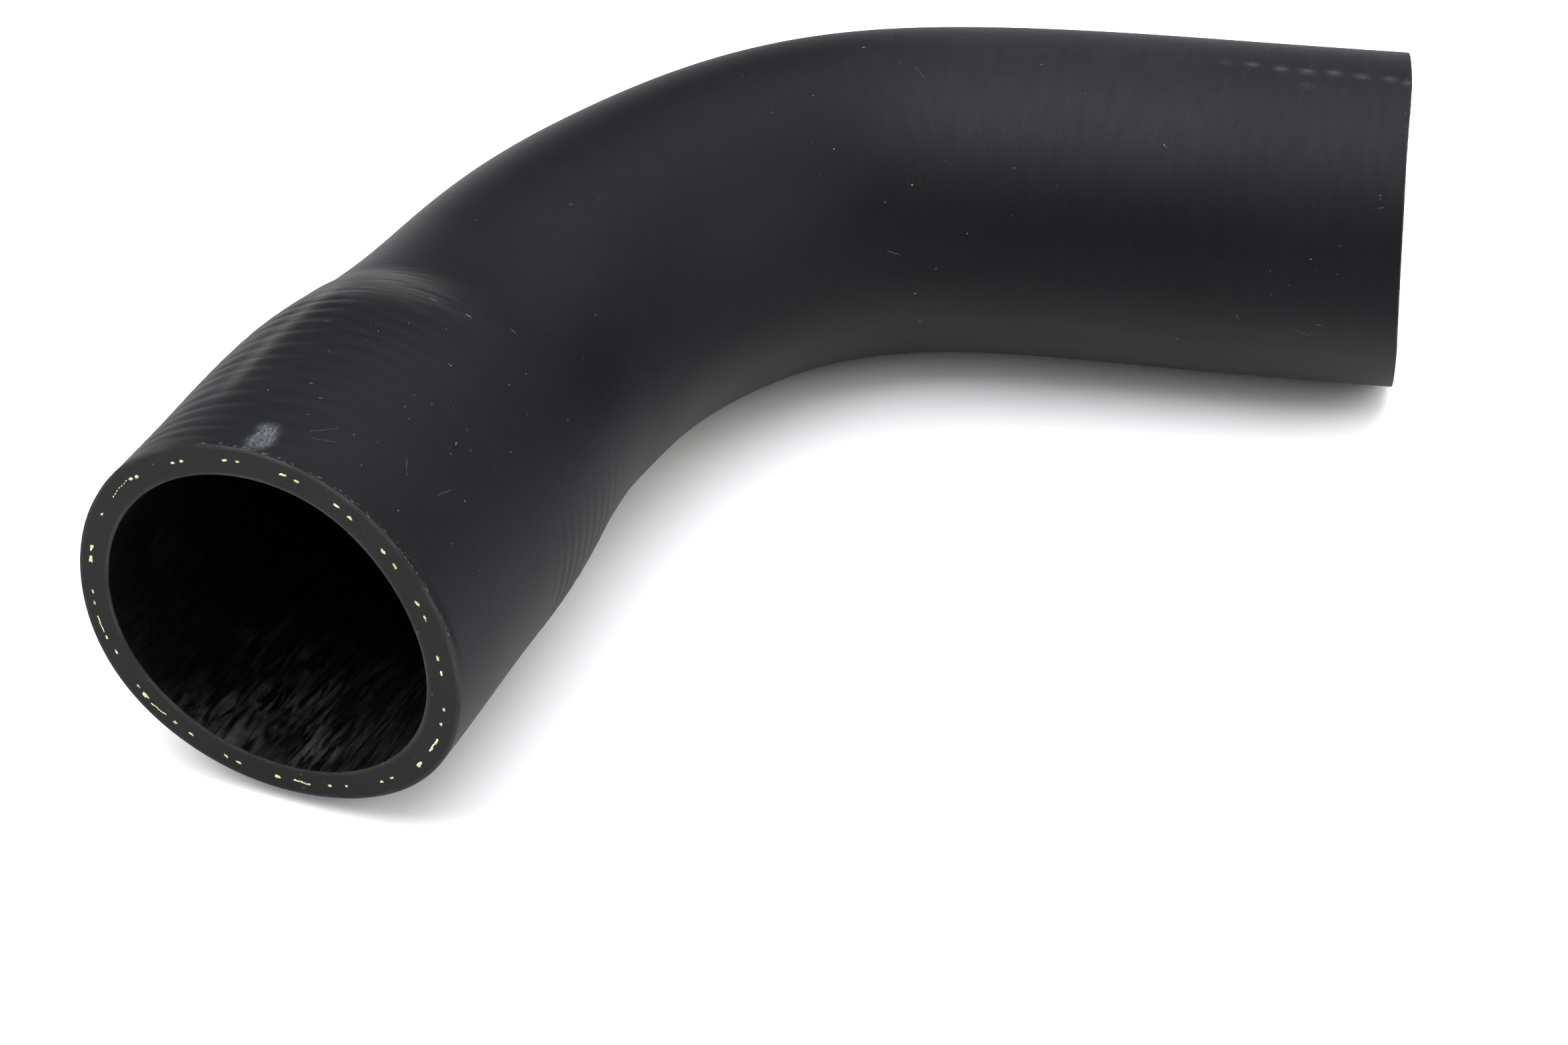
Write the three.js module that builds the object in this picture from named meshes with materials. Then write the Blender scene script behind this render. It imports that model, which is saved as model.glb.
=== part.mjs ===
// Charge air hose: one moulded rubber elbow with a bell-shaped socket at one
// end and a plain cut end at the other. One piece, open right through.
// Millimetres, +Z up, lying on its side on z = 0 as it comes to rest.

import * as THREE from 'three';
import { NURBSCurve } from 'three/addons/curves/NURBSCurve.js';

// ---------------------------------------------------------------- dimensions

const WALL = 4.7;                 // wall thickness, the same all the way round

// The hose's run in its own plane: x, y of the axis and the outside diameter.
// The first rows are the socket (48 bore), then the taper down to the 40 bore
// body, the bend, and the plain leg, which runs along x.
const RUN = [
  [-39.9, -76.3, 57.3],
  [-37.9, -67.7, 57.0],
  [-35.0, -54.0, 57.4],
  [-31.7, -40.7, 57.3],
  [-29.2, -32.1, 55.2],
  [-27.4, -24.9, 52.4],
  [-25.8, -18.3, 50.9],
  [-24.1, -11.5, 49.8],
  [-21.5, -2.7, 49.8],
  [-17.3, 10.0, 49.4],
  [-9.1, 24.4, 48.8],
  [3.1, 38.7, 49.3],
  [17.7, 48.0, 49.4],
  [35.5, 51.7, 49.2],
  [57.5, 52.0, 49.9],
  [82.7, 51.3, 50.0],
  [100.1, 51.3, 50.0],
];
// Knots of the cubic run: close together at the socket's taper, wide in the legs.
const KNOTS = [0, 0, 0, 0, 0.04, 0.08, 0.12, 0.155, 0.19, 0.23, 0.28, 0.36,
  0.48, 0.6, 0.72, 0.84, 0.93, 1, 1, 1, 1];

// The socket's mouth is a little out of round: cosine and sine amplitudes for
// one to five waves round the edge, outside and inside, gone at FADE.
const MOUTH_OUTSIDE = [[-0.10, -0.10], [0.11, 0.10], [0.02, -0.43], [-0.17, 0.04], [0.01, -0.06]];
const MOUTH_INSIDE = [[0.05, -0.15], [0, 0.12], [0.15, -0.32], [-0.05, 0.05], [-0.03, -0.04]];
const FADE = 35;

// Both ends are cut flat but not quite square to the axis: slope of each cut
// across the hose in its plane and out of its plane. The slope is taken up
// over CUT_RUN of the length, so that the sections turn into it gradually.
const SOCKET_CUT = [-0.006, 0.038];
const PLAIN_CUT = [0.079, -0.005];
const CUT_RUN = 25;

// Sections along the run, as distances from the socket's mouth. The last one
// is the plain end itself.
const SECTIONS = [0, 4, 12, 20, 28, 34, 39, 44, 49, 54, 59, 65, 71, 78, 85, 92,
  99, 106, 113, 120, 127, 134, 141, 148, 155, 163, 173, 185, 197, 209, 218];
const SIDES = 44;

// How the hose lies: the bell mouth is the widest part, so the plane of the
// bend comes to rest tilted by these angles about x and y.
const LIE_X_DEG = -2.8191;
const LIE_Y_DEG = -0.6581;

// ----------------------------------------------------------------- the run

const run = new NURBSCurve(3, KNOTS,
  RUN.map(([x, y, od]) => new THREE.Vector4(x, y, od / 2, 1)));

const FINE = 4000;
const lengths = [0];
let last = run.getPoint(0);
for (let i = 1; i <= FINE; i++) {
  const p = run.getPoint(i / FINE);
  lengths.push(lengths[i - 1] + Math.hypot(p.x - last.x, p.y - last.y));
  last = p;
}
const LENGTH = lengths[FINE];

function paramAt(distance) {
  if (distance >= LENGTH) return 1;
  let i = 1;
  while (lengths[i] < distance) i++;
  const f = (distance - lengths[i - 1]) / (lengths[i] - lengths[i - 1]);
  return (i - 1 + f) / FINE;
}

const smooth = (x) => {
  const t = Math.min(1, Math.max(0, x));
  return t * t * (3 - 2 * t);
};

function waves(angle, table) {
  return table.reduce((sum, [c, s], i) =>
    sum + c * Math.cos((i + 1) * angle) + s * Math.sin((i + 1) * angle), 0);
}

// One closed ring of points round the axis, on the outside or in the bore.
function ring(distance, inside) {
  const t = paramAt(distance);
  const p = run.getPoint(t);
  const tangent = run.getTangent(t);
  const dir = new THREE.Vector2(tangent.x, tangent.y).normalize();
  const left = new THREE.Vector2(-dir.y, dir.x);
  const mouth = 1 - smooth(distance / FADE);
  const nearSocket = 1 - smooth(distance / CUT_RUN);
  const nearPlain = 1 - smooth((LENGTH - distance) / CUT_RUN);
  const points = [];
  for (let k = 0; k < SIDES; k++) {
    const angle = Math.PI / 2 + (2 * Math.PI * k) / SIDES;
    const r = p.z - (inside ? WALL : 0)
      + mouth * waves(angle, inside ? MOUTH_INSIDE : MOUTH_OUTSIDE);
    const a = r * Math.cos(angle);
    const b = r * Math.sin(angle);
    const shift = -(a * SOCKET_CUT[0] + b * SOCKET_CUT[1]) * nearSocket
      - (a * PLAIN_CUT[0] + b * PLAIN_CUT[1]) * nearPlain;
    points.push([
      p.x + a * left.x + shift * dir.x,
      p.y + a * left.y + shift * dir.y,
      b,
    ]);
  }
  return points;
}

// ----------------------------------------------------------------- the hose

function hoseGeometry() {
  const stations = [...SECTIONS, LENGTH];
  const outside = stations.map((s) => ring(s, false));
  const bore = stations.map((s) => ring(s, true));
  const rings = [...outside, ...bore];
  const positions = rings.flat(2);
  const index = [];
  const at = (r, k) => r * SIDES + (k % SIDES);
  const n = stations.length;
  const quad = (a, b, c, d) => index.push(a, b, c, a, c, d);
  for (let k = 0; k < SIDES; k++) {
    for (let i = 0; i < n - 1; i++) {
      // outside wall, facing out
      quad(at(i, k), at(i, k + 1), at(i + 1, k + 1), at(i + 1, k));
      // bore wall, facing the axis
      quad(at(n + i, k), at(n + i + 1, k), at(n + i + 1, k + 1), at(n + i, k + 1));
    }
    // flat cut faces at the two ends
    quad(at(0, k), at(n, k), at(n, k + 1), at(0, k + 1));
    quad(at(n - 1, k), at(n - 1, k + 1), at(2 * n - 1, k + 1), at(2 * n - 1, k));
  }
  const geometry = new THREE.BufferGeometry();
  geometry.setAttribute('position', new THREE.Float32BufferAttribute(positions, 3));
  geometry.setIndex(index);
  geometry.computeVertexNormals();
  return geometry;
}

const rubber = new THREE.MeshStandardMaterial({
  color: 0x1e1e21,
  roughness: 0.55,
  metalness: 0,
});

const hose = new THREE.Mesh(hoseGeometry(), rubber);
hose.name = 'hose_body';
hose.rotation.set(
  THREE.MathUtils.degToRad(LIE_X_DEG), THREE.MathUtils.degToRad(LIE_Y_DEG), 0);

// Set down on z = 0, with the middle of its footprint at the origin.
hose.updateMatrixWorld(true);
const box = new THREE.Box3().setFromObject(hose, true);
hose.position.set(
  -(box.min.x + box.max.x) / 2, -(box.min.y + box.max.y) / 2, -box.min.z);

const group = new THREE.Group();
group.add(hose);

export default group;
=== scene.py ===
# Looks for the charge air hose: one moulded rubber elbow, lying on its side.
import math

import bpy
import numpy as np
from mathutils import Matrix, Vector


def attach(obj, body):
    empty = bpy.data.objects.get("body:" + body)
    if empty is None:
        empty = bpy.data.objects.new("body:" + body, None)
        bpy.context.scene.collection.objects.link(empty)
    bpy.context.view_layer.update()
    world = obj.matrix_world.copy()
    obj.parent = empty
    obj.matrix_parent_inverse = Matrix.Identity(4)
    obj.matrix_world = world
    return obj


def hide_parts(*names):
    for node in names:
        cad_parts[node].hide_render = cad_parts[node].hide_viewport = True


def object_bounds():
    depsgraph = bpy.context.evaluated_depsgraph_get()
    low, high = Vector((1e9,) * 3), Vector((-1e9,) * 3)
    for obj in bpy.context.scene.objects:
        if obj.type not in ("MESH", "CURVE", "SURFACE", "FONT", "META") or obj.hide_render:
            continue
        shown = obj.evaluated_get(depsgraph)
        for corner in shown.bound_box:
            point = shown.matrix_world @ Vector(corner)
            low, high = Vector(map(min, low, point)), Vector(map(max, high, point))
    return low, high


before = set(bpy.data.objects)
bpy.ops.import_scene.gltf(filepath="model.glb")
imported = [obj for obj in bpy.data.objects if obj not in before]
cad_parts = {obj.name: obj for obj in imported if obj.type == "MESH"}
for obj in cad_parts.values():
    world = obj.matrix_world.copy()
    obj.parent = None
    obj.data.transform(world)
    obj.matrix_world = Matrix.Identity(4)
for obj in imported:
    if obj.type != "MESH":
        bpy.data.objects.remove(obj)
cad_lo, cad_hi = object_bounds()
CAD_LO = np.array(cad_lo[:]) * 1000.0
CAD_HI = np.array(cad_hi[:]) * 1000.0

# ------------------------------------------------------------ the hose's run
# Millimetres, the same numbers as the CAD piece: x, y, outside diameter.
RUN = np.array([
    [-39.9, -76.3, 57.3], [-37.9, -67.7, 57.0], [-35.0, -54.0, 57.4],
    [-31.7, -40.7, 57.3], [-29.2, -32.1, 55.2], [-27.4, -24.9, 52.4],
    [-25.8, -18.3, 50.9], [-24.1, -11.5, 49.8], [-21.5, -2.7, 49.8],
    [-17.3, 10.0, 49.4], [-9.1, 24.4, 48.8], [3.1, 38.7, 49.3],
    [17.7, 48.0, 49.4], [35.5, 51.7, 49.2], [57.5, 52.0, 49.9],
    [82.7, 51.3, 50.0], [100.1, 51.3, 50.0]])
RUN[:, 2] /= 2.0
KN = np.array([0, 0, 0, 0, .04, .08, .12, .155, .19, .23, .28, .36, .48, .6,
               .72, .84, .93, 1, 1, 1, 1.0])
WALL = 4.7
MOUTH_OUT = [[-0.10, -0.10], [0.11, 0.10], [0.02, -0.43], [-0.17, 0.04], [0.01, -0.06]]
MOUTH_IN = [[0.05, -0.15], [0, 0.12], [0.15, -0.32], [-0.05, 0.05], [-0.03, -0.04]]
SOCKET_CUT = (-0.006, 0.038)
PLAIN_CUT = (0.079, -0.005)


def rot_x(d):
    c, s = math.cos(math.radians(d)), math.sin(math.radians(d))
    return np.array([[1, 0, 0], [0, c, -s], [0, s, c]])


def rot_y(d):
    c, s = math.cos(math.radians(d)), math.sin(math.radians(d))
    return np.array([[c, 0, s], [0, 1, 0], [-s, 0, c]])


ROT = rot_x(-2.8191) @ rot_y(-0.6581)
POS = np.array([-17.21787797, 3.14467537, 26.76056838])


def basis(t, der=False):
    t = np.atleast_1d(t)
    m = len(KN) - 1
    nc = len(RUN)
    tt = np.clip(t, 0, 1 - 1e-12)
    row = [((tt >= KN[i]) & (tt < KN[i + 1])).astype(float) for i in range(m)]
    levels = [row]
    for p in range(1, 4):
        nxt = []
        for i in range(m - p):
            a = (tt - KN[i]) / (KN[i + p] - KN[i]) * row[i] if KN[i + p] > KN[i] else 0 * tt
            b = ((KN[i + p + 1] - tt) / (KN[i + p + 1] - KN[i + 1]) * row[i + 1]
                 if KN[i + p + 1] > KN[i + 1] else 0 * tt)
            nxt.append(a + b)
        row = nxt
        levels.append(row)
    if not der:
        return np.array(row).T
    q, out = levels[2], []
    for i in range(nc):
        a = 3 / (KN[i + 3] - KN[i]) * q[i] if KN[i + 3] > KN[i] else 0 * tt
        b = 3 / (KN[i + 4] - KN[i + 1]) * q[i + 1] if KN[i + 4] > KN[i + 1] else 0 * tt
        out.append(a - b)
    return np.array(out).T


TS = np.linspace(0, 1, 4001)
PTS = basis(TS) @ RUN[:, :2]
LS = np.r_[0, np.cumsum(np.linalg.norm(np.diff(PTS, axis=0), axis=1))]
LENGTH = float(LS[-1])


def sm(x):
    x = np.clip(x, 0, 1)
    return x * x * (3 - 2 * x)


def bell(x, w):
    return np.exp(-(x / w) ** 2)


def waves(th, h):
    return sum(a * np.cos((k + 1) * th) + b * np.sin((k + 1) * th)
               for k, (a, b) in enumerate(h))


def place(L, th, w, lift=0.0, along=0.0):
    """Points (mm) at run length L, angle th, wall fraction w (0 bore, 1 outside)."""
    L, th, w = np.broadcast_arrays(np.asarray(L, float), np.asarray(th, float),
                                   np.asarray(w, float))
    t = np.interp(L.ravel(), LS, TS)
    P = basis(t) @ RUN
    D = basis(t, True) @ RUN[:, :2]
    D /= np.linalg.norm(D, axis=1)[:, None]
    sh = L.shape
    x, y, r = (P[:, i].reshape(sh) for i in range(3))
    tx, ty = D[:, 0].reshape(sh), D[:, 1].reshape(sh)
    fade = 1 - sm(L / 35.0)
    ro = r + fade * waves(th, MOUTH_OUT)
    ri = r - WALL + fade * waves(th, MOUTH_IN)
    rho = ri + w * (ro - ri) + lift
    a, b = rho * np.cos(th), rho * np.sin(th)
    g = 1 - sm(L / 25.0)
    g1 = 1 - sm((LENGTH - L) / 25.0)
    s = (-(a * SOCKET_CUT[0] + b * SOCKET_CUT[1]) * g
         - (a * PLAIN_CUT[0] + b * PLAIN_CUT[1]) * g1 + along)
    V = np.stack([x - ty * a + tx * s, y + tx * a + ty * s, b], -1)
    return V @ ROT.T + POS


# ---------------------------------------------------------- surface features
def smooth_noise(L, th, cells, seed, period_l):
    """Seamless low-frequency noise from a few sine waves, about -1..1."""
    g = np.random.default_rng(seed)
    out = 0
    for _ in range(cells):
        k = g.integers(1, 7)
        f = g.uniform(0.3, 1.0) * 2 * np.pi / period_l
        out = out + np.sin(k * th + f * L + g.uniform(0, 6.28)) * np.cos(f * 0.7 * L + g.uniform(0, 6.28))
    return out / math.sqrt(cells)


def angle_gap(th, deg):
    return (np.degrees(th) - deg + 180) % 360 - 180


DASHES = [(201.2, 91.6, .9), (205.4, 93.0, 1), (209.2, 93.6, 1), (213.1, 93.4, 1),
          (216.9, 94.4, .85), (220.8, 94.8, .7), (223.6, 96.6, .8), (197.4, 91.5, .35),
          (209.5, 101.6, .30)]


def dash_mask(L, th):
    out = 0
    for l0, deg, amount in DASHES:
        out = out + amount * bell(L - l0, 0.85) * bell(angle_gap(th, deg), 1.25)
    return out


def outer_lift(L, th):
    """How far the outside stands off its smooth form, mm."""
    d = np.zeros(np.broadcast(L, th).shape)
    deg = np.degrees(th) % 360
    # fine moulding ripples round the socket, strongest towards the upper left
    zone = bell(angle_gap(th, 66), 25) + 0.30 * bell(angle_gap(th, 99), 17)
    run_in = sm((L - 0.8) / 3) * (1 - sm((L - 38) / 6))
    wob = (0.55 * np.sin(2 * th + 0.6) + 0.30 * np.sin(5 * th + 0.11 * L)
           + 0.24 * np.sin(0.43 * L + 3.1 * th))
    patch = (0.62 + 0.26 * np.sin(0.31 * L + 4 * th + 1.0) * np.sin(0.19 * L - 7 * th)
             + 0.22 * np.sin(0.83 * L + 11 * th) * np.sin(0.57 * L - 17 * th + 2.0))
    wave = np.sin(2 * np.pi * (L + wob) / 3.0)
    wave = 0.55 * np.clip(wave, 0, 1) - 1.1 * np.clip(-wave, 0, 1) ** 1.6
    d = d + 0.150 * zone * run_in * patch * wave
    d = d + 0.014 * zone * run_in * np.sin(2 * np.pi * (L - wob) / 1.31 + 1.1)
    # raised ring where the taper starts
    step = np.interp(deg, [40, 62, 78, 92, 105, 112, 123, 140],
                     [48.6, 47.4, 46.5, 44.9, 44.2, 43.6, 46.8, 48.0])
    ring = bell(angle_gap(th, 84), 32)
    d = d + ring * (0.24 * bell(L - step, 2.0) - 0.11 * bell(L - step - 4.0, 2.2))
    d = d + 0.030 * ring * bell(L - step, 4.5) * np.sin(2 * np.pi * (L - 0.04 * deg) / 1.6)
    # soft raised moulding dashes along the top of the plain leg
    d = d + 0.045 * dash_mask(L, th)
    # fainter ripples low on the bend's inner side
    low = bell(angle_gap(th, 199), 17) * sm((L - 28) / 6) * (1 - sm((L - 50) / 6))
    d = d + 0.090 * low * np.sin(2 * np.pi * (L + 0.3 * np.sin(4 * th)) / 2.75)
    # faint bands on the plain leg
    leg = bell(angle_gap(th, 118), 38) * sm((L - 140) / 10) * (1 - sm((L - 190) / 12))
    d = d + 0.012 * leg * np.sin(2 * np.pi * (L + 0.4 * np.sin(3 * th)) / 2.3)
    # the whole hose is very slightly uneven
    d = d + 0.055 * smooth_noise(L, th, 7, 5, 70.0) * sm(L / 10)
    # a knife dig and a pressed lip close behind the socket's rim
    d = d - 0.32 * bell(L - 0.95, 0.42) * bell(angle_gap(th, 158), 15)
    d = d - 0.22 * bell(L - 1.1, 0.7) * bell(angle_gap(th, 33), 4)
    return d


def plain_end_wave(th):
    """The plain end is cut by hand: how far its edge wanders along the axis, mm."""
    deg = np.degrees(th) % 360
    at = [0, 40, 88, 96, 104, 112, 121, 129, 138, 146, 155, 164, 173, 182, 191, 200, 260, 320, 360]
    mm = [0, 0.1, .45, .49, .37, .22, .03, -.09, -.15, -.17, -.21, -.22, -.21, -.16, -.11, 0, -.05, .05, 0]
    return np.interp(deg, at, mm)


# ------------------------------------------------------------------ the mesh
NSEG = 224
TH = math.radians(-90) + np.arange(NSEG) * 2 * math.pi / NSEG
RIM = 0.22

# Each ring of the profile: run length, wall fraction, kind (0 outside, 1 bore, 2 cut face)
rings = []
for a in np.radians([18, 36, 54, 72]):
    rings.append((RIM * (1 - math.cos(a)), 1 - (RIM / WALL) * (1 - math.sin(a)), 2))
dense = np.r_[np.arange(RIM, 6, 0.32), np.arange(6, 54, 0.44)]
rest = np.linspace(54, 188, 90)
tail = np.linspace(188.6, LENGTH - RIM, 58)
for L in np.r_[dense, rest, tail]:
    rings.append((L, 1.0, 0))
for a in np.radians([72, 54, 36, 18]):
    rings.append((LENGTH - RIM * (1 - math.cos(a)), 1 - (RIM / WALL) * (1 - math.sin(a)), 2))
for w in np.linspace(1 - RIM / WALL, RIM / WALL, 9):
    rings.append((LENGTH, w, 2))
for a in np.radians([18, 36, 54, 72]):
    rings.append((LENGTH - RIM * (1 - math.cos(a)), (RIM / WALL) * (1 - math.sin(a)), 2))
for L in np.r_[np.linspace(LENGTH - RIM, 60, 40), np.linspace(58, 1.2, 40), [RIM]]:
    rings.append((L, 0.0, 1))
for a in np.radians([72, 54, 36, 18]):
    rings.append((RIM * (1 - math.cos(a)), (RIM / WALL) * (1 - math.sin(a)), 2))
for w in np.linspace(RIM / WALL, 1 - RIM / WALL, 11):
    rings.append((0.0, w, 2))

RL = np.array([r[0] for r in rings])[:, None]
RW = np.array([r[1] for r in rings])[:, None]
RK = np.array([r[2] for r in rings])
N = len(rings)
TT = np.broadcast_to(TH[None, :], (N, NSEG))
LL = np.broadcast_to(RL, (N, NSEG))
WW = np.broadcast_to(RW, (N, NSEG))
lift = outer_lift(LL, TT) * sm((WW - 0.80) / 0.2)
lift = lift * (1 - bell(angle_gap(TT, 270), 30))        # smooth where it lies on the floor
lift = lift + 0.05 * smooth_noise(LL, TT, 6, 9, 55.0) * (WW < 0.01) * sm(LL / 8)
near_end = 1 - sm((LENGTH - LL) / 12.0)
along = plain_end_wave(TT) * near_end
# the socket's cut face isn't dead flat either
face = (1 - sm(LL / 5.0))
along = along + face * 0.045 * (np.sin(3 * TT + 1) + 0.6 * np.sin(7 * TT + 2 * WW))
VERT = place(LL, TT, WW, lift, along)
VERT = np.clip(VERT, CAD_LO, CAD_HI)       # the hose stays inside its own box

V = VERT.reshape(-1, 3) / 1000.0
idx = np.arange(N * NSEG).reshape(N, NSEG)
a = idx
b = np.roll(idx, -1, 1)
c = np.roll(np.roll(idx, -1, 0), -1, 1)
d = np.roll(idx, -1, 0)
F = np.stack([a, b, c, d], -1).reshape(-1, 4)

mesh = bpy.data.meshes.new("hose_rubber")
mesh.vertices.add(len(V))
mesh.vertices.foreach_set("co", V.astype(np.float32).ravel())
mesh.loops.add(F.size)
mesh.loops.foreach_set("vertex_index", F.ravel().astype(np.int32))
mesh.polygons.add(len(F))
mesh.polygons.foreach_set("loop_start", np.arange(0, F.size, 4, dtype=np.int32))
mesh.polygons.foreach_set("use_smooth", np.ones(len(F), dtype=bool))
mesh.update(calc_edges=True)

# u is the length along the run, v the way round, both in millimetres
uv = mesh.uv_layers.new(name="run")
k = np.broadcast_to(np.arange(NSEG)[None, :], (N, NSEG))
ring_v = 2 * math.pi * 25.0
v0 = k / NSEG * ring_v
v1 = (k + 1) / NSEG * ring_v
u0 = LL
u1 = np.roll(LL, -1, 0)
UV = np.stack([np.stack([u0, v0], -1), np.stack([u0, v1], -1),
               np.stack([u1, v1], -1), np.stack([u1, v0], -1)], 2)
uv.data.foreach_set("uv", (UV.reshape(-1, 2) / 100.0).astype(np.float32).ravel())


def attribute(name, values):
    at = mesh.attributes.new(name, 'FLOAT', 'POINT')
    at.data.foreach_set("value", np.ascontiguousarray(values, dtype=np.float32).ravel())


outside = WW > 0.9
# a chalky rub by the socket's rim; lighter rubbing round the raised ring, and a painted highlight streak along the
# ripples
side_lo = 88.5 + 0.35 * np.sin(1.9 * LL)
side_hi = np.interp(LL, [0, 1.0, 2.9, 5.0, 7.4], [92.8, 95.2, 96.5, 95.5, 93.8])
scuff = (sm((np.degrees(TT) - side_lo + 1.2) / 2.2) * sm((side_hi + 0.9 - np.degrees(TT)) / 2.4)
         * sm((LL + 0.3) / 0.6) * (1 - sm((LL - 5.6) / 2.6)) * (0.65 + 0.35 * sm(LL / 3.0)) * outside)
rub_and_highlight = (bell(LL - 44.8, 4.2) * bell(angle_gap(TT, 79), 19)
          # painted highlight: a thin light streak along the ripples
          + 0.80 * bell(angle_gap(TT, 66.4), 3.0) * sm((LL - 8) / 14) * (1 - sm((LL - 43) / 6))
          + 0.15 * bell(angle_gap(TT, 52), 14) * (1 - sm((LL - 50) / 30))) * outside
cloudy = ((bell(angle_gap(TT, 80), 16) + 0.9 * bell(angle_gap(TT, 122), 19)) * sm((LL - 128) / 38)
          * (1 - 0.25 * sm((LL - 190) / 14))) * outside
warm = (bell(angle_gap(TT, 44), 16) * (1 - sm((LL - 45) / 40))) * outside
dashes = dash_mask(LL, TT) * outside
# dust that collects low down inside the bore
dusty = ((WW < 0.1) * (bell(angle_gap(TT, 281), 22) * (1 - sm((LL - 3) / 32))
         + 0.30 * bell(angle_gap(TT, 262), 48) * (1 - sm((LL - 6) / 46)) + 0.07 * bell(angle_gap(TT, 0), 45)))
# painted highlight: the rounded rims of both cut faces are made lighter
rim_edge_highlight = ((RK[:, None] == 2) & ((WW > 0.93) | (WW < 0.07))) * 1.0
lower = sm((angle_gap(TT, 150) - 27) / 30.0) * outside * sm((75 - np.abs(angle_gap(TT, 215))) / 40)
attribute("scuff", np.clip(scuff, 0, 1))
attribute("cloudy", np.clip(cloudy, 0, 1))
attribute("warm", np.clip(warm, 0, 1))
attribute("dashes", np.clip(dashes, 0, 1))
attribute("rub_and_highlight", np.clip(rub_and_highlight, 0, 1))
attribute("dusty", np.clip(dusty, 0, 1))
attribute("rim_edge_highlight", rim_edge_highlight)
attribute("lower", np.clip(lower, 0, 1))
mesh.validate()
mesh.update()

hose = bpy.data.objects.new("hose_rubber", mesh)
bpy.context.scene.collection.objects.link(hose)


# ----------------------------------------------------------------- materials
class Nodes:
    """Short calls for building a node material."""

    def __init__(self, name):
        self.mat = bpy.data.materials.new(name)
        self.mat.use_nodes = True
        self.t = self.mat.node_tree
        self.t.nodes.clear()
        self.out = self.t.nodes.new("ShaderNodeOutputMaterial")
        self.bsdf = self.t.nodes.new("ShaderNodeBsdfPrincipled")
        self.t.links.new(self.bsdf.outputs[0], self.out.inputs[0])

    def new(self, kind, **props):
        n = self.t.nodes.new(kind)
        for key, val in props.items():
            setattr(n, key, val)
        return n

    def link(self, a, b):
        self.t.links.new(a, b)

    def coords(self, scale):
        uvn = self.new("ShaderNodeUVMap", uv_map="run")
        mp = self.new("ShaderNodeMapping")
        mp.inputs["Scale"].default_value = scale
        self.link(uvn.outputs[0], mp.inputs[0])
        return mp.outputs[0]

    def solid(self, scale):
        tc = self.new("ShaderNodeTexCoord")
        mp = self.new("ShaderNodeMapping")
        mp.inputs["Scale"].default_value = scale
        self.link(tc.outputs["Object"], mp.inputs[0])
        return mp.outputs[0]

    def noise(self, vec, scale, detail=4.0, rough=0.55, distort=0.0):
        n = self.new("ShaderNodeTexNoise")
        n.inputs["Scale"].default_value = scale
        n.inputs["Detail"].default_value = detail
        n.inputs["Roughness"].default_value = rough
        n.inputs["Distortion"].default_value = distort
        self.link(vec, n.inputs["Vector"])
        return n.outputs["Fac"]

    def remap(self, x, lo, hi, to_lo=0.0, to_hi=1.0):
        n = self.new("ShaderNodeMapRange")
        n.inputs["From Min"].default_value = lo
        n.inputs["From Max"].default_value = hi
        n.inputs["To Min"].default_value = to_lo
        n.inputs["To Max"].default_value = to_hi
        self.link(x, n.inputs["Value"])
        return n.outputs[0]

    def attr(self, name):
        return self.new("ShaderNodeAttribute", attribute_name=name).outputs["Fac"]

    def math(self, op, x, y):
        n = self.new("ShaderNodeMath", operation=op)
        for i, v in enumerate((x, y)):
            if isinstance(v, (int, float)):
                n.inputs[i].default_value = v
            else:
                self.link(v, n.inputs[i])
        return n.outputs[0]

    def mix(self, fac, c1, c2):
        n = self.new("ShaderNodeMix", data_type='RGBA')
        for socket, v in ((n.inputs[0], fac), (n.inputs[6], c1), (n.inputs[7], c2)):
            if isinstance(v, tuple):
                socket.default_value = (*v, 1.0)
            elif isinstance(v, (int, float)):
                socket.default_value = v
            else:
                self.link(v, socket)
        return n.outputs[2]

    def bump(self, height, distance, strength=1.0, normal=None):
        n = self.new("ShaderNodeBump")
        n.inputs["Distance"].default_value = distance
        n.inputs["Strength"].default_value = strength
        self.link(height, n.inputs["Height"])
        if normal is not None:
            self.link(normal, n.inputs["Normal"])
        return n.outputs[0]


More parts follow.
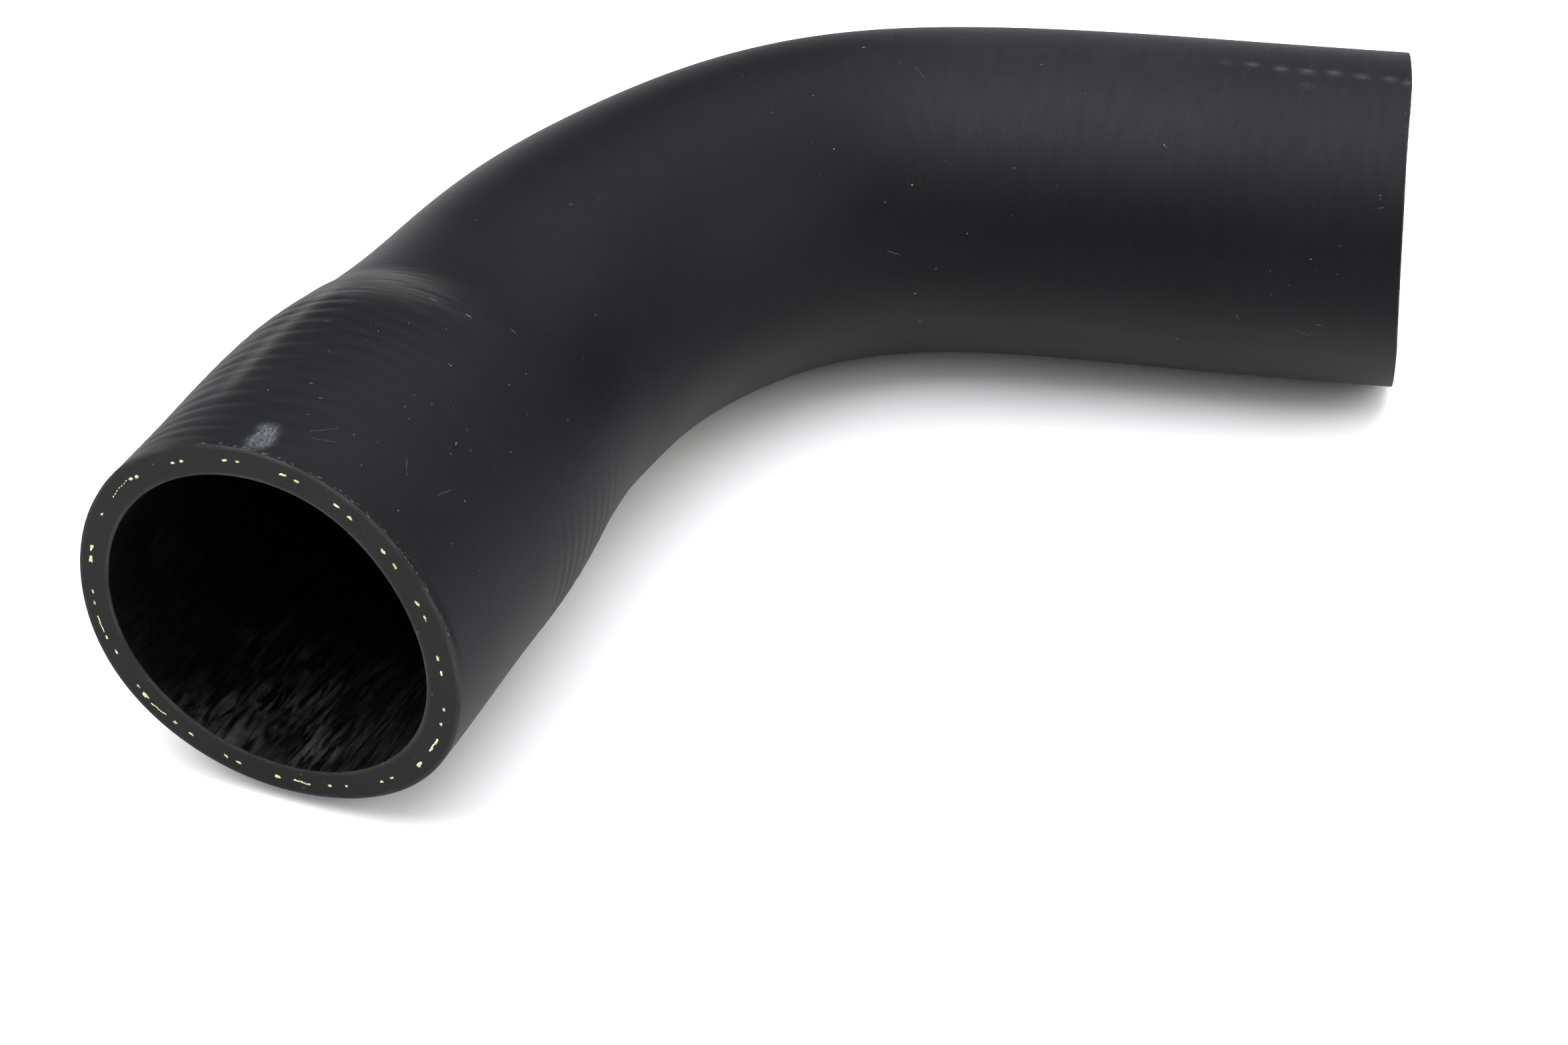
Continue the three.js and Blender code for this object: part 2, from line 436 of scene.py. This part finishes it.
def outside_rubber():
    m = Nodes("rubber_outside")
    s = m.solid((1, 1, 1))
    along_run = m.coords((1.0, 7.0, 1.0))
    round_run = m.coords((30.0, 1.0, 1.0))
    mottle = m.noise(s, 26.0, 4.0, 0.6)
    fine = m.noise(s, 900.0, 3.0, 0.6)
    grain = m.noise(s, 2600.0, 2.0, 0.5)
    bands = m.noise(round_run, 9.0, 3.0, 0.6)
    streak = m.noise(along_run, 5.0, 3.0, 0.5)
    wide = m.noise(m.coords((7.0, 1.3, 1.0)), 11.0, 3.0, 0.5, 0.4)
    cloud = m.noise(s, 13.0, 3.0, 0.55)
    col = m.mix(m.remap(mottle, 0.32, 0.70), (0.0030, 0.0030, 0.0038), (0.0053, 0.0053, 0.0065))
    col = m.mix(m.remap(wide, 0.40, 0.75, 0.0, 0.18), col, (0.0090, 0.0090, 0.0103))
    # cloudy bands round the plain leg
    col = m.mix(m.math('MULTIPLY', m.attr("cloudy"), m.remap(wide, 0.25, 0.75, 0.58, 0.92)), col, (0.0176, 0.0176, 0.0200))
    # rubbed lighter round the raised ring, plus a painted highlight streak along the ripples
    col = m.mix(m.math('MULTIPLY', m.attr("rub_and_highlight"), m.remap(bands, 0.36, 0.64, 0.20, 0.90)), col, (0.068, 0.067, 0.065))
    col = m.mix(m.math('MULTIPLY', m.attr("warm"), m.remap(cloud, 0.3, 0.7, 0.1, 0.5)), col, (0.0085, 0.0081, 0.0070))
    # lighter, brownish colour low down on the outside
    low_tint = m.math('MULTIPLY', m.attr("lower"), m.remap(m.math('ADD', m.math('MULTIPLY', streak, 0.25), cloud), 0.38, 0.90, 0.30, 0.90))
    col = m.mix(low_tint, col, (0.0290, 0.0265, 0.0245))
    # fine pale dust all over
    motes = m.remap(m.noise(s, 620.0, 2.0, 0.5), 0.745, 0.80)
    col = m.mix(m.math('MULTIPLY', motes, 0.30), col, (0.060, 0.060, 0.063))
    # soft moulding dashes
    col = m.mix(m.math('MULTIPLY', m.attr("dashes"), m.remap(mottle, 0.3, 0.7, 0.55, 0.95)), col, (0.062, 0.062, 0.067))
    # the chalky rub: a thin veil with bright flecks in it
    flecks = m.noise(m.coords((0.8, 1.6, 1.0)), 280.0, 6.0, 0.85, 1.6)
    flecks = m.math('ADD', flecks, m.math('MULTIPLY', m.attr("scuff"), 0.16))
    flecks = m.remap(flecks, 0.62, 0.82)
    veil = m.remap(m.attr("scuff"), 0.04, 0.9)
    col = m.mix(m.math('MULTIPLY', veil, 0.50), col, (0.024, 0.026, 0.029))
    chalk = m.math('MULTIPLY', veil, flecks)
    col = m.mix(chalk, col, (0.185, 0.196, 0.205))
    m.link(col, m.bsdf.inputs["Base Color"])
    rough = m.remap(cloud, 0.3, 0.7, 0.50, 0.62)
    m.link(m.math('ADD', rough, m.math('MULTIPLY', chalk, 0.3)), m.bsdf.inputs["Roughness"])
    m.bsdf.inputs["Specular IOR Level"].default_value = 0.095
    n = m.bump(wide, 0.00005, 0.4)
    n = m.bump(fine, 0.00004, 0.55, n)
    n = m.bump(grain, 0.000015, 0.5, n)
    m.link(n, m.bsdf.inputs["Normal"])
    return m.mat


def bore_rubber():
    m = Nodes("rubber_bore")
    s = m.solid((1, 1, 1))
    mottle = m.noise(s, 60.0, 4.0, 0.6)
    streak = m.noise(m.coords((0.55, 3.6, 1.0)), 24.0, 5.0, 0.64, 0.8)
    patch = m.noise(m.coords((1.0, 1.0, 1.0)), 9.0, 3.0, 0.6)
    # painted shade: the bore's base colour is kept darker than the outside rubber's
    col = m.mix(m.remap(mottle, 0.35, 0.7), (0.0012, 0.0012, 0.0013), (0.0028, 0.0028, 0.0030))
    amount = m.math('MULTIPLY', m.attr("dusty"), m.remap(streak, 0.42, 0.72))
    amount = m.math('MULTIPLY', amount, m.remap(patch, 0.38, 0.60, 0.15, 1.0))
    col = m.mix(amount, col, (0.082, 0.080, 0.077))
    m.link(col, m.bsdf.inputs["Base Color"])
    m.link(m.remap(streak, 0.3, 0.7, 0.52, 0.70), m.bsdf.inputs["Roughness"])
    m.bsdf.inputs["Specular IOR Level"].default_value = 0.05
    n = m.bump(streak, 0.00010, 0.6)
    n = m.bump(m.noise(s, 900.0, 3.0), 0.00004, 0.5, n)
    m.link(n, m.bsdf.inputs["Normal"])
    return m.mat


def cut_rubber():
    m = Nodes("rubber_cut_face")
    s = m.solid((1, 1, 1))
    mottle = m.noise(s, 130.0, 5.0, 0.65)
    fine = m.noise(s, 1500.0, 3.0, 0.6)
    drag = m.noise(m.solid((1.0, 1.0, 7.0)), 260.0, 4.0, 0.6, 0.3)
    col = m.mix(m.remap(mottle, 0.3, 0.7), (0.0080, 0.0080, 0.0083), (0.0138, 0.0138, 0.0138))
    specks = m.remap(m.noise(s, 1100.0, 1.0, 0.5), 0.74, 0.80)
    col = m.mix(m.math('MULTIPLY', specks, 0.4), col, (0.11, 0.11, 0.11))
    # painted highlight along the rounded rims of the cut faces
    col = m.mix(m.math('MULTIPLY', m.attr("rim_edge_highlight"), m.remap(mottle, 0.35, 0.65, 0.1, 0.7)), col, (0.045, 0.045, 0.047))
    m.link(col, m.bsdf.inputs["Base Color"])
    m.link(m.remap(mottle, 0.3, 0.7, 0.60, 0.74), m.bsdf.inputs["Roughness"])
    m.bsdf.inputs["Specular IOR Level"].default_value = 0.12
    n = m.bump(drag, 0.00006, 0.5)
    n = m.bump(fine, 0.00004, 0.5, n)
    m.link(n, m.bsdf.inputs["Normal"])
    return m.mat


def yarn_fibre():
    m = Nodes("yarn_fibre")
    s = m.solid((1, 1, 1))
    v = m.noise(s, 1400.0, 3.0, 0.6)
    col = m.mix(m.remap(v, 0.3, 0.7), (0.42, 0.40, 0.18), (0.86, 0.85, 0.52))
    m.link(col, m.bsdf.inputs["Base Color"])
    m.link(m.remap(v, 0.3, 0.7, 0.62, 0.85), m.bsdf.inputs["Roughness"])
    m.bsdf.inputs["Sheen Weight"].default_value = 0.25
    m.link(m.bump(m.noise(s, 5200.0, 2.0), 0.00004, 0.6), m.bsdf.inputs["Normal"])
    return m.mat


def mote_material(name, dark, light):
    m = Nodes(name)
    v = m.noise(m.solid((1, 1, 1)), 900.0, 2.0, 0.5)
    m.link(m.mix(m.remap(v, 0.3, 0.7), dark, light), m.bsdf.inputs["Base Color"])
    m.link(m.remap(v, 0.3, 0.7, 0.65, 0.85), m.bsdf.inputs["Roughness"])
    m.link(m.bump(m.noise(m.solid((1, 1, 1)), 4200.0, 2.0), 0.00003, 0.6), m.bsdf.inputs["Normal"])
    return m.mat


for mat in (outside_rubber(), bore_rubber(), cut_rubber()):
    mesh.materials.append(mat)
pair = np.stack([RK, np.roll(RK, -1)], 1)
ring_mat = np.where((pair == 2).any(1), 2, pair[:, 0])
mesh.polygons.foreach_set("material_index",
                          np.repeat(ring_mat[:, None], NSEG, 1).ravel().astype(np.int32))
mesh.update()

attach(hose, "root")
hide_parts("hose_body")


# ----------------------------------------------------------- small details
def frame_at(L, th, w):
    """Point and its unit directions along the run, round it and outwards, in mm."""
    e = 0.05
    p = place(L, th, w, outer_lift(np.array(L), np.array(th)) if w > 0.95 else 0.0)
    t = place(min(L + e, LENGTH), th, w) - place(max(L - e, 0.0), th, w)
    r = place(L, th + 1e-3, w) - place(L, th - 1e-3, w)
    t, r = t / np.linalg.norm(t), r / np.linalg.norm(r)
    out = np.cross(r, t)
    radial = place(L, th, w + 0.01) - place(L, th, w - 0.01)
    if np.dot(out, radial) < 0:
        out = -out
    return p, t, r, out / np.linalg.norm(out)


def blob(verts, faces, centre, ax, ay, up, sx, sy, sz, seed, sides=10, layers=4):
    """A small irregular lump lying on a surface, half sunk into it."""
    g = np.random.default_rng(seed)
    wob = 1 + 0.26 * g.standard_normal(sides).clip(-1.3, 1.3)
    start = len(verts)
    for i in range(layers):
        f = math.cos(i / layers * math.pi / 2)
        h = math.sin(i / layers * math.pi / 2)
        for j in range(sides):
            an = 2 * math.pi * j / sides
            verts.append(centre + ax * (sx * f * wob[j] * math.cos(an))
                         + ay * (sy * f * wob[j] * math.sin(an)) + up * (sz * (h - 0.35)))
    verts.append(centre + up * sz * 0.65)
    verts.append(centre - up * sz * 0.6)
    top, bottom = len(verts) - 2, len(verts) - 1
    for i in range(layers - 1):
        for j in range(sides):
            q = start + i * sides
            n2 = (j + 1) % sides
            faces.append((q + j, q + n2, q + sides + n2, q + sides + j))
    for j in range(sides):
        n2 = (j + 1) % sides
        faces.append((start + (layers - 1) * sides + j, start + (layers - 1) * sides + n2, top))
        faces.append((start + n2, start + j, bottom))


def detail_piece(name, verts, faces, mat):
    co = np.clip(np.array(verts), CAD_LO, CAD_HI) / 1000.0
    me = bpy.data.meshes.new(name)
    me.from_pydata([tuple(p) for p in co], [], faces)
    me.materials.append(mat)
    for poly in me.polygons:
        poly.use_smooth = True
    me.validate()
    me.update()
    ob = bpy.data.objects.new(name, me)
    bpy.context.scene.collection.objects.link(ob)
    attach(ob, "root")
    return ob


# Yarn ends in the socket's cut face: angle, wall fraction, spread along and across (mm)
YARN = [
    (65.4, .50, .34, .17), (68.6, .50, .28, .15), (83.7, .54, .36, .17), (87.8, .56, .30, .15),
    (102.2, .57, .50, .19), (106.5, .56, .38, .18), (119.7, .56, .52, .21), (124.7, .53, .40, .20),
    (138.0, .53, .40, .24), (143.4, .53, .42, .19), (156.8, .51, .44, .21), (161.8, .53, .36, .19),
    (175.9, .49, .44, .20), (181.1, .51, .33, .20), (194.2, .54, .30, .19), (199.9, .54, .28, .18),
    (219.0, .60, .62, .36), (230.9, .52, .28, .16), (235.4, .52, .28, .15), (248.7, .50, .24, .14),
    (254.6, .50, .36, .17), (272.7, .53, .46, .27), (285.7, .55, .42, .20), (290.1, .54, .32, .17),
    (302.4, .54, .40, .20), (308.1, .55, .42, .20), (319.8, .60, .60, .32), (323.4, .57, .34, .20),
    (335.7, .52, .34, .16), (340.9, .59, .28, .15), (352.9, .61, .30, .15), (356.9, .59, .28, .14),
    (8.9, .60, .62, .34), (13.4, .61, .58, .26), (28.0, .57, .24, .15), (47.3, .57, .36, .22),
    (50.0, .52, .36, .20)]
# Yarn cut lengthwise, seen as a dash: both ends as angle and wall fraction, width (mm)
DASH = [
    (206.4, .58, 211.5, .56, .18), (266.6, .48, 261.9, .56, .16), (316.5, .64, 311.9, .58, .10),
    (347.9, .63, 343.2, .61, .11), (36.9, .56, 45.5, .60, .06)]

yv, yf = [], []


def yarn_bundle(deg, w, sx, sy, seed, plain_end=False):
    """One cut bundle in a cut face, with two or three loose filament ends."""
    th = math.radians(deg)
    if plain_end:
        L, along = LENGTH, float(plain_end_wave(th))
    else:
        L, along = 0.0, 0.045 * (math.sin(3 * th + 1) + 0.6 * math.sin(7 * th + 2 * w))
    p = place(L, th, w, 0.0, along)
    r = place(L, th + 1e-3, w) - place(L, th - 1e-3, w)
    q = place(L, th, w + .02) - place(L, th, w - .02)
    r, q = r / np.linalg.norm(r), q / np.linalg.norm(q)
    n = np.cross(r, q)
    facing = n[0] > 0 if plain_end else n[1] < 0
    n = n if facing else -n
    blob(yv, yf, p, r, q, n, sx, sy, 0.16, 100 + seed)
    g = np.random.default_rng(500 + seed)
    for j in range(3):
        off = r * g.uniform(-sx, sx) * 0.8 + q * g.uniform(-sy, sy) * 0.9
        an = g.uniform(-0.5, 0.5)
        ax = r * math.cos(an) + q * math.sin(an)
        ay = -r * math.sin(an) + q * math.cos(an)
        blob(yv, yf, p + off, ax, ay, n, g.uniform(.14, .30), .05, 0.20, 900 + 7 * seed + j, 6, 3)


for i, (deg, w, sx, sy) in enumerate(YARN):
    yarn_bundle(deg, w, sx, sy, i)
# the same knit shows at the plain end, in pairs about 17 degrees apart
g = np.random.default_rng(23)
for i in range(21):
    mid = i * 360 / 21 + g.uniform(-1.5, 1.5)
    for j, side in enumerate((-2.3, 2.3)):
        yarn_bundle(mid + side, g.uniform(.49, .57), g.uniform(.26, .48), g.uniform(.14, .22),
                    60 + 2 * i + j, True)
for i, (d0, w0, d1, w1, wid) in enumerate(DASH):
    for f in np.linspace(0, 1, 7):
        th = math.radians(d0 + (d1 - d0) * f)
        w = w0 + (w1 - w0) * f + 0.012 * math.sin(9 * f + i)
        p = place(0.0, th, w, 0.0, 0.045 * (math.sin(3 * th + 1) + 0.6 * math.sin(7 * th + 2 * w)))
        r = place(0.0, th + 1e-3, w) - place(0.0, th - 1e-3, w)
        q = place(0.0, th, w + .02) - place(0.0, th, w - .02)
        r, q = r / np.linalg.norm(r), q / np.linalg.norm(q)
        n = np.cross(r, q)
        n = n if n[1] < 0 else -n
        blob(yv, yf, p, r, q, n, .26, wid, 0.12, 1500 + 11 * i + int(f * 6), 8, 3)
detail_piece("yarn_ends", yv, yf, yarn_fibre())

# Dust and small marks on the outside: run length, angle, size along, size round (mm)
MOTES = [
    (143.2, 88, .34, .16), (170.1, 100, .30, .13), (131.4, 132, .18, .17), (141.3, 153, .13, .12),
    (159.6, 165, .16, .14), (123, 112, .13, .10), (153.2, 178, .22, .12), (148.3, 188, .30, .16),
    (149.6, 202, .55, .09), (131.7, 110, .22, .11), (167.6, 142, .16, .12), (190.6, 131, .15, .10),
    (220.4, 142, .18, .14), (220.8, 146, .16, .10), (213.4, 190, .18, .12), (202.8, 190, .15, .12),
    (67.9, 85, .15, .12), (63.1, 138, .18, .13), (32, 117, .16, .12), (23.4, 121, .13, .15),
    (22.7, 116, .12, .12), (20.5, 133, .14, .13), (43.3, 152, .16, .12), (41.7, 134, .14, .14),
    (10.6, 111, .19, .12), (6.7, 118, .17, .13), (4.8, 133, .20, .17), (8.7, 150, .14, .22),
    (15.1, 145, .12, .30), (43.3, 111, .16, .62), (46.5, 123, .08, .60), (42.9, 99.8, .07, .85),
    (16.7, 91.5, .13, .34), (14.4, 96.8, .08, .30), (13.8, 81.8, .20, .13), (32.0, 117.8, .26, .12),
    (19.9, 116.2, .30, .07), (20.8, 132.8, .22, .15), (18.6, 133.5, .14, .13), (28.2, 145.5, .14, .13),
    (10.6, 97.5, .10, .22), (38.1, 109.5, .14, .11), (35.6, 100.5, .14, .12), (32.4, 92.2, .14, .13),
    (37.2, 132.8, .20, .12), (190.3, 130.5, .14, .42), (211.8, 165, .34, .10), (206.7, 170.2, .14, .13),
    (215.3, 169.5, .13, .12), (202.5, 189, .22, .14), (213.1, 189.8, .16, .15), (220.4, 143.2, .12, .11),
    (220.4, 146.2, .14, .12), (193.8, 203.2, .22, .16), (209.2, 174.8, .12, .10)]
mv, mf = [], []
for i, (L, deg, sx, sy) in enumerate(MOTES):
    p, t, r, out = frame_at(float(L), math.radians(deg), 1.0)
    blob(mv, mf, p, t, r, out, sx * 0.8, sy * 0.8, 0.05, 2000 + i, 9, 3)
g = np.random.default_rng(77)
for i in range(110):
    L, deg = g.uniform(3, LENGTH - 3), g.uniform(20, 230)
    p, t, r, out = frame_at(L, math.radians(deg), 1.0)
    s = g.uniform(.03, .07)
    blob(mv, mf, p, t, r, out, s * g.uniform(1, 2.2), s, 0.03, 3000 + i, 7, 2)
detail_piece("dust_specks", mv, mf,
             mote_material("dust_speck", (0.040, 0.040, 0.038), (0.105, 0.102, 0.095)))

ov, of_ = [], []
p, t, r, out = frame_at(148.3, math.radians(148), 1.0)
blob(ov, of_, p, t, r, out, .16, .15, 0.06, 41, 9, 3)
detail_piece("rust_speck", ov, of_, mote_material("rust_speck_mat", (0.20, 0.105, 0.045), (0.30, 0.18, 0.08)))

# Hairline scratches, each a chain of shallow slivers: run length, angle, length, slant
SCRATCH = [(151.2, 105, 2.4, 60), (142.6, 171, 3.2, 15), (211.1, 194, 2.0, 25),
           (9.0, 104, 3.2, 40), (7.2, 106, 2.4, 62), (11.5, 127, 2.6, -30), (13.0, 139, 2.2, 20)]
sv, sf = [], []
for i, (L, deg, length, slant) in enumerate(SCRATCH):
    c_, s_ = math.cos(math.radians(slant)), math.sin(math.radians(slant))
    for f in np.linspace(-0.5, 0.5, 9):
        Lq = L + f * length * c_
        dq = deg + math.degrees(f * length * s_ / 25.0) + 0.12 * math.sin(11 * f + i)
        p, t, r, out = frame_at(Lq, math.radians(dq), 1.0)
        blob(sv, sf, p, t * c_ + r * s_, -t * s_ + r * c_, out, length / 13, .035, 0.025,
             4000 + 13 * i + int(f * 8), 6, 2)
detail_piece("hairline_scratches", sv, sf,
             mote_material("scratch_mat", (0.040, 0.040, 0.043), (0.090, 0.090, 0.095)))

# Crumbs of rubber left by the knife along both cut rims
bv, bf = [], []
g = np.random.default_rng(19)
for i in range(84):
    deg = g.uniform(86, 170) if i < 66 else g.uniform(20, 88)
    w = 1.0
    p, t, r, out = frame_at(g.uniform(0.15, 0.75), math.radians(deg), w)
    blob(bv, bf, p, r, t, out, g.uniform(.08, .36), g.uniform(.04, .09), 0.08, 6000 + i, 7, 3)
for i in range(16):
    p, t, r, out = frame_at(LENGTH - g.uniform(0.1, 0.5), math.radians(g.uniform(90, 190)), 1.0)
    blob(bv, bf, p, r, t, out, g.uniform(.08, .25), g.uniform(.04, .08), 0.06, 6100 + i, 7, 3)
detail_piece("rim_crumbs", bv, bf,
             mote_material("rubber_crumb", (0.018, 0.018, 0.019), (0.085, 0.085, 0.088)))

# -------------------------------------------------------------- stage, light
floor_mat = Nodes("floor_paper")
fn = floor_mat.noise(floor_mat.solid((1, 1, 1)), 40.0, 3.0)
floor_mat.link(floor_mat.mix(floor_mat.remap(fn, 0.3, 0.7), (0.90, 0.90, 0.90), (0.915, 0.915, 0.915)),
               floor_mat.bsdf.inputs["Base Color"])
floor_mat.bsdf.inputs["Roughness"].default_value = 0.9
floor_mat.bsdf.inputs["Specular IOR Level"].default_value = 0.1
fm = bpy.data.meshes.new("floor")
e = 12.0
fm.from_pydata([(-e, -e, 0), (e, -e, 0), (e, e, 0), (-e, e, 0)], [], [(0, 1, 2, 3)])
fm.materials.append(floor_mat.mat)
floor = bpy.data.objects.new("floor", fm)
floor.location = (0, 0, -0.0002)
bpy.context.scene.collection.objects.link(floor)


def area(name, size, power, loc, aim, color=(1, 1, 1)):
    L = bpy.data.lights.new(name, 'AREA')
    L.shape = 'SQUARE'
    L.size = size
    L.energy = power
    L.color = color
    o = bpy.data.objects.new(name, L)
    o.location = loc
    o.rotation_euler = (Vector(aim) - Vector(loc)).to_track_quat('-Z', 'Y').to_euler()
    bpy.context.scene.collection.objects.link(o)
    return o


area("softbox_top", 2.4, 63.0, (-0.10, 0.25, 1.5), (0, 0, 0), (0.95, 0.96, 1.0))
area("softbox_front", 1.6, 15.0, (0.0, -1.3, 1.4), (0, 0, 0), (0.98, 0.98, 1.0))
area("softbox_left", 1.4, 27.0, (-1.7, -0.2, 0.9), (0, 0, 0), (1.0, 0.99, 0.97))
area("softbox_right", 1.4, 28.0, (1.7, 0.0, 0.9), (0, 0, 0), (1.0, 0.99, 0.97))
area("softbox_back", 1.0, 5.0, (0.9, 1.5, 0.95), (0, 0, 0), (0.97, 0.97, 1.0))

world = bpy.data.worlds.new("studio")
world.use_nodes = True
bpy.context.scene.world = world
bg = world.node_tree.nodes["Background"]
bg.inputs[0].default_value = (0.97, 0.98, 1.0, 1)
bg.inputs[1].default_value = 0.06
bpy.context.scene.view_settings.view_transform = 'Standard'

# -------------------------------------------------------------------- camera
cam = bpy.data.cameras.new("camera")
cam.sensor_fit = 'HORIZONTAL'
cam.sensor_width = 36.0
cam.lens = 7000.0 / 2352.0 * 36.0
cam.clip_start = 0.01
co = bpy.data.objects.new("camera", cam)
right = (0.9830490908116106, 0.1821467290098482, -0.020905840463339893)
up = (-0.09325188673472502, 0.5949138272702973, 0.7983618376043665)
back = (0.1578561708482748, -0.7828793695286776, 0.6018150231520483)
loc = (0.10679615929580329, -0.5365368382117983, 0.41179913608)
co.matrix_world = Matrix(((right[0], up[0], back[0], loc[0]),
                          (right[1], up[1], back[1], loc[1]),
                          (right[2], up[2], back[2], loc[2]),
                          (0, 0, 0, 1)))
bpy.context.scene.collection.objects.link(co)
bpy.context.scene.camera = co
